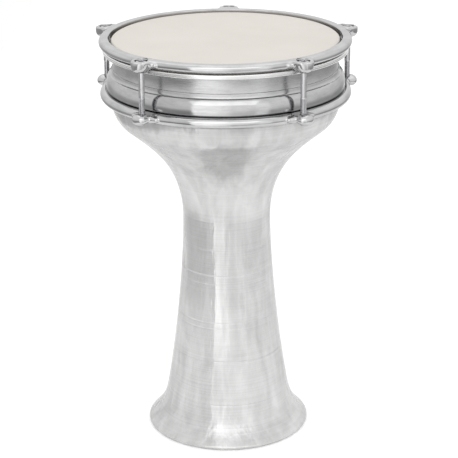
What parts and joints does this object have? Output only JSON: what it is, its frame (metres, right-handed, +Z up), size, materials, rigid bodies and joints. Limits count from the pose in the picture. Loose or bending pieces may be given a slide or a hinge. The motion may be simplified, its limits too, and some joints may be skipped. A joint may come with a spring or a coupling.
{
  "type": "darbuka",
  "caption": "Goblet-shaped metal hand drum: spun aluminium shell open at the foot, film head under a tension hoop pulled down by socket-head screws in lugs.",
  "frame": {"origin": "on the floor plane at the middle of the drum's footprint; the drum's vertical axis stands at X = 0, Y = -6.85 mm, because the odd number of lugs makes the drum reach further back than forward", "axes": "+Z up along the drum's axis, +Y from the drum's axis towards the lug numbered 1, +X to the right seen from -Y"},
  "size_m": [0.268, 0.2666, 0.4198],
  "materials": {
    "satin_aluminium": "spun and satin polished, fine rings round the axis",
    "polished_plate": "mirror polished bright plating",
    "drumhead_film": "cream-white coated film, fine matte grain",
    "rolled_aluminium": "rolled, bright with fine drawing lines",
    "screw_steel": "bright zinc-nickel plated steel, smooth shank and rolled thread"
  },
  "bodies": {
    "shell": {"goblet_shell": "satin_aluminium", "lower_lug_ring": "polished_plate", "head_collar": "polished_plate", "drumhead_film": "drumhead_film"},
    "hoop": {"tension_hoop": "polished_plate", "flesh_hoop": "rolled_aluminium", "screw_washer_1": "screw_steel", "screw_washer_2": "screw_steel", "screw_washer_3": "screw_steel", "screw_washer_4": "screw_steel", "screw_washer_5": "screw_steel"},
    "screw_1": {"tension_screw_1": "screw_steel"},
    "screw_2": {"tension_screw_2": "screw_steel"},
    "screw_3": {"tension_screw_3": "screw_steel"},
    "screw_4": {"tension_screw_4": "screw_steel"},
    "screw_5": {"tension_screw_5": "screw_steel"}
  },
  "joints": [
    {"name": "hoop_travel", "type": "slide", "parent": "shell", "child": "hoop", "axis": [0, 0, 1], "range_m": [-0.003, 0.003]},
    {"name": "screw_1_turn", "type": "hinge", "parent": "hoop", "child": "screw_1", "pos_m": [0, 0.12315, 0.385], "axis": [0, 0, 1], "range_deg": [-1081, 1081]},
    {"name": "screw_2_turn", "type": "hinge", "parent": "hoop", "child": "screw_2", "pos_m": [-0.12364, 0.03332, 0.385], "axis": [0, 0, 1], "range_deg": [-1081, 1081]},
    {"name": "screw_3_turn", "type": "hinge", "parent": "hoop", "child": "screw_3", "pos_m": [-0.07641, -0.11202, 0.385], "axis": [0, 0, 1], "range_deg": [-1081, 1081]},
    {"name": "screw_4_turn", "type": "hinge", "parent": "hoop", "child": "screw_4", "pos_m": [0.07641, -0.11202, 0.385], "axis": [0, 0, 1], "range_deg": [-1081, 1081]},
    {"name": "screw_5_turn", "type": "hinge", "parent": "hoop", "child": "screw_5", "pos_m": [0.12364, 0.03332, 0.385], "axis": [0, 0, 1], "range_deg": [-1081, 1081]}
  ],
  "couplings": [
    {"joint": "screw_1_turn", "follows": "hoop_travel", "rad_per_m": 6283.2},
    {"joint": "screw_2_turn", "follows": "hoop_travel", "rad_per_m": 6283.2},
    {"joint": "screw_3_turn", "follows": "hoop_travel", "rad_per_m": 6283.2},
    {"joint": "screw_4_turn", "follows": "hoop_travel", "rad_per_m": 6283.2},
    {"joint": "screw_5_turn", "follows": "hoop_travel", "rad_per_m": 6283.2}
  ]
}
